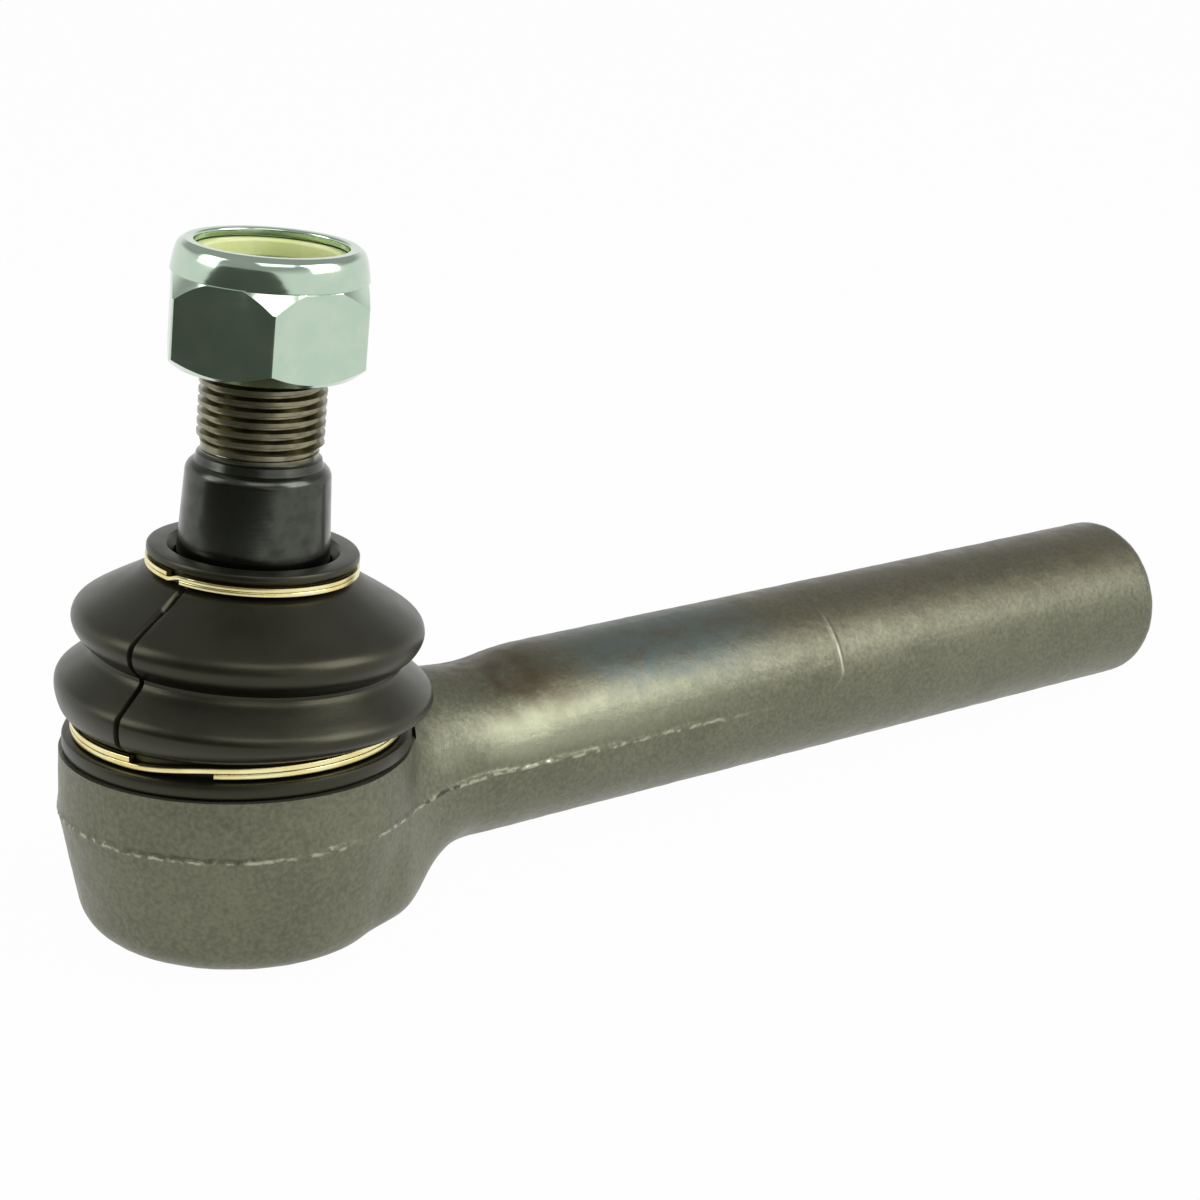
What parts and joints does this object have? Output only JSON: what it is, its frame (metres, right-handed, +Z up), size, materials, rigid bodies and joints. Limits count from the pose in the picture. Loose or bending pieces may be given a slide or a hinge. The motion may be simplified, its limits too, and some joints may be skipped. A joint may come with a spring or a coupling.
{
  "type": "tie rod end",
  "caption": "Forged tie rod end: a round shank with a tapped end, a ball stud leaning in the eye under a rubber bellows, and a plated lock nut on its thread.",
  "frame": {"origin": "middle of the flat underside of the eye's cover, on the eye's axis", "axes": "+X along the shank from the eye to its tapped end, +Z up the eye's axis towards the stud"},
  "size_m": [0.2134, 0.0542, 0.1022],
  "materials": {
    "forged_steel": "shot-blasted, oiled, with a raised forging line and brown and blue heat stains",
    "oiled_steel": "turned and oiled, dark",
    "bearing_plastic": "moulded, greased",
    "zinc_plate": "bright zinc plate",
    "pressed_steel": "pressed plate, dull",
    "spring_steel": "hardened, blued",
    "boot_rubber": "moulded, satin with a mould line",
    "seal_rubber": "moulded",
    "yellow_zinc": "yellow zinc plate, bright",
    "nylon": "pale yellow nylon"
  },
  "bodies": {
    "housing": {"housing": "forged_steel", "upper_bearing_shell": "bearing_plastic", "lower_bearing_shell": "bearing_plastic", "preload_spring": "spring_steel", "cover_plate": "pressed_steel", "cover_seal_ring": "seal_rubber", "boot_ring_lower": "yellow_zinc"},
    "boot": {"dust_boot": "boot_rubber"},
    "boot_top": {"boot_ring_upper": "yellow_zinc"},
    "stud": {"ball_stud": "oiled_steel"},
    "nut_climb": {"nut_locking_insert": "nylon"},
    "nut": {"lock_nut": "zinc_plate"}
  },
  "joints": [
    {"name": "lean_direction", "type": "hinge", "parent": "housing", "child": "boot", "pos_m": [0, 0, 0.0194], "axis": [0, 0, 1], "continuous": true},
    {"name": "stud_lean", "type": "hinge", "parent": "boot", "child": "boot_top", "pos_m": [0, 0, 0.0194], "axis": [0.6293, 0.7771, 0], "range_deg": [-23.7, 16.3], "deforming": ["dust_boot"]},
    {"name": "stud_spin", "type": "hinge", "parent": "boot_top", "child": "stud", "pos_m": [0, 0, 0.0194], "axis": [0.0502, -0.0406, 0.9979], "continuous": true},
    {"name": "nut_travel", "type": "slide", "parent": "stud", "child": "nut_climb", "axis": [0.0502, -0.0406, 0.9979], "range_m": [-0.009, 0.012]},
    {"name": "nut_turn", "type": "hinge", "parent": "nut_climb", "child": "nut", "pos_m": [0, 0, 0.0194], "axis": [0.0502, -0.0406, 0.9979], "range_deg": [-2160, 2880]}
  ],
  "couplings": [
    {"joint": "nut_travel", "follows": "nut_turn", "m_per_rad": 0.00023873}
  ]
}
